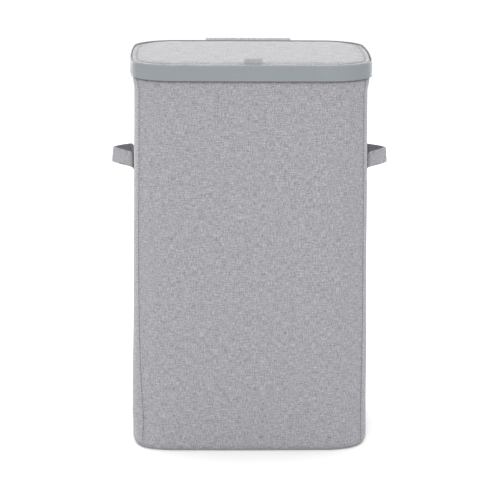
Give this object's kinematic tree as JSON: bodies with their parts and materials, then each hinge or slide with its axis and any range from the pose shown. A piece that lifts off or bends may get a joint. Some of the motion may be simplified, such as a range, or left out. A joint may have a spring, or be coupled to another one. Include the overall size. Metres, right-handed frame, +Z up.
{
  "type": "laundry hamper with lid",
  "caption": "Tall rectangular fabric laundry hamper on corner rods, with a plastic-framed padded lid on a fabric hinge strap, a pull tab and two side strap handles.",
  "frame": {"origin": "on the floor under the middle of the tub's base, halfway between the two sides and between front and back", "axes": "+Z up, -Y towards the front where the pull tab is, +X towards the hamper's left-hand side as it stands, which is the right side seen from the front"},
  "size_m": [0.4902, 0.3417, 0.6862],
  "materials": {
    "body_fabric": "heathered grey linen-look polyester, matt",
    "lid_fabric": "fine horizontal slub weave, pale grey, matt",
    "lining_fabric": "smooth woven lining, matt",
    "strap_fabric": "grey body fabric outside, dark charcoal webbing inside",
    "tab_fabric": "plain woven tape",
    "rim_plastic": "satin blue-grey moulded plastic",
    "dark_plastic": "near-black moulded plastic",
    "rod_metal": "white powder-coated steel tube, modelled solid",
    "stiff_board": "dense fibreboard",
    "foam": "thin polyester padding"
  },
  "bodies": {
    "hamper": {"front_panel": "body_fabric", "right_panel": "body_fabric", "back_panel": "body_fabric", "left_panel": "body_fabric", "base_panel": "body_fabric", "base_board": "stiff_board", "top_hoop": "rim_plastic", "hem_facing": "lining_fabric", "hem_binding": "body_fabric", "rod_front_left": "rod_metal", "rod_foot_front_left": "dark_plastic", "rod_cap_front_left": "dark_plastic", "rod_channel_front_left": "lining_fabric", "rod_front_right": "rod_metal", "rod_foot_front_right": "dark_plastic", "rod_cap_front_right": "dark_plastic", "rod_channel_front_right": "lining_fabric", "rod_back_right": "rod_metal", "rod_foot_back_right": "dark_plastic", "rod_cap_back_right": "dark_plastic", "rod_channel_back_right": "lining_fabric", "rod_back_left": "rod_metal", "rod_foot_back_left": "dark_plastic", "rod_cap_back_left": "dark_plastic", "rod_channel_back_left": "lining_fabric", "hinge_strap_body": "body_fabric", "slot_plate_left_front": "dark_plastic", "anchor_plate_left_front": "dark_plastic", "strap_tail_left_front": "strap_fabric", "slot_plate_left_rear": "dark_plastic", "anchor_plate_left_rear": "dark_plastic", "strap_tail_left_rear": "strap_fabric", "slot_plate_right_front": "dark_plastic", "anchor_plate_right_front": "dark_plastic", "strap_tail_right_front": "strap_fabric", "slot_plate_right_rear": "dark_plastic", "anchor_plate_right_rear": "dark_plastic", "strap_tail_right_rear": "strap_fabric"},
    "lid": {"lid_frame": "rim_plastic", "lid_board": "stiff_board", "lid_foam": "foam", "lid_cover": "lid_fabric", "lid_lining": "lining_fabric", "hinge_strap_lid": "body_fabric"},
    "tab": {"pull_tab": "tab_fabric"},
    "left_handle": {"handle_left": "strap_fabric"},
    "right_handle": {"handle_right": "strap_fabric"}
  },
  "joints": [
    {"name": "lid_hinge", "type": "hinge", "parent": "hamper", "child": "lid", "pos_m": [0, 0.17, 0.6485], "axis": [-1, 0, 0], "range_deg": [0, 110]},
    {"name": "tab_flex", "type": "hinge", "parent": "lid", "child": "tab", "pos_m": [0, -0.158, 0.6766], "axis": [1, 0, 0], "range_deg": [-60, 60]},
    {"name": "left_handle_swing", "type": "hinge", "parent": "hamper", "child": "left_handle", "pos_m": [-0.21938, 0, 0.492], "axis": [0, 1, 0], "range_deg": [-70, 70]},
    {"name": "right_handle_swing", "type": "hinge", "parent": "hamper", "child": "right_handle", "pos_m": [0.21938, 0, 0.492], "axis": [0, -1, 0], "range_deg": [-70, 70]}
  ]
}
